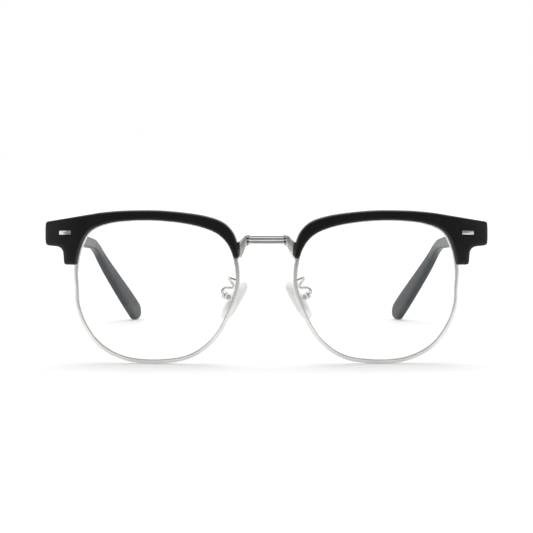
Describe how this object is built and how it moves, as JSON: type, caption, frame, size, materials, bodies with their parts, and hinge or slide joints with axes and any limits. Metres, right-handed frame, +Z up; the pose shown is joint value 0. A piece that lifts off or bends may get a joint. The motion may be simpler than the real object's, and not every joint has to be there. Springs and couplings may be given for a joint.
{
  "type": "half rim eyeglasses",
  "caption": "Browline eyeglasses with dark brows over metal rims, a ribbed bridge, clear nose pads on wire arms and folding temples with curved tips.",
  "frame": {"origin": "middle of the pair's box at the table it stands on", "axes": "+X towards the wearer's left, which is the right of a viewer in front; +Y from the front back along the temples; +Z up"},
  "size_m": [0.1448, 0.1439, 0.0498],
  "materials": {
    "acetate": "polished dark acetate",
    "silver": "polished silver plate",
    "lens": "clear, coated",
    "silicone": "clear soft silicone",
    "screw_steel": "bright turned steel",
    "core_wire": "rolled wire"
  },
  "bodies": {
    "front": {"bridge": "silver", "rim_screws": "screw_steel", "brow_screws": "screw_steel", "hinge_screws": "screw_steel", "pad_screws": "screw_steel", "rim_left": "silver", "rim_right": "silver", "lens_left": "lens", "lens_right": "lens", "brow_left": "acetate", "brow_right": "acetate", "brow_plate_left": "silver", "brow_plate_right": "silver", "brow_tabs_left": "silver", "brow_tabs_right": "silver", "closing_block_upper_left": "silver", "closing_block_upper_right": "silver", "closing_block_lower_left": "silver", "closing_block_lower_right": "silver", "hinge_front_left": "silver", "hinge_front_right": "silver", "pad_arm_left": "silver", "pad_arm_right": "silver", "pad_box_left": "silver", "pad_box_right": "silver"},
    "temple_left": {"temple_left": "acetate", "temple_core_left": "core_wire", "hinge_temple_left": "silver"},
    "temple_right": {"temple_right": "acetate", "temple_core_right": "core_wire", "hinge_temple_right": "silver"},
    "nose_pad_left": {"nose_pad_left": "silicone", "pad_insert_left": "silver"},
    "nose_pad_right": {"nose_pad_right": "silicone", "pad_insert_right": "silver"}
  },
  "joints": [
    {"name": "temple_hinge_left", "type": "hinge", "parent": "front", "child": "temple_left", "pos_m": [0.06666, -0.06027, 0.04205], "axis": [0, 0.0976, 0.9952], "range_deg": [0, 84]},
    {"name": "temple_hinge_right", "type": "hinge", "parent": "front", "child": "temple_right", "pos_m": [-0.06666, -0.06027, 0.04205], "axis": [0, -0.0976, -0.9952], "range_deg": [0, 70]},
    {"name": "nose_pad_rock_left", "type": "hinge", "parent": "front", "child": "nose_pad_left", "pos_m": [0.0128, -0.06187, 0.02125], "axis": [0.3891, 0.9051, 0.1711], "range_deg": [-8, 8]},
    {"name": "nose_pad_rock_right", "type": "hinge", "parent": "front", "child": "nose_pad_right", "pos_m": [-0.0128, -0.06187, 0.02125], "axis": [0.3891, -0.9051, -0.1711], "range_deg": [-8, 8]}
  ]
}
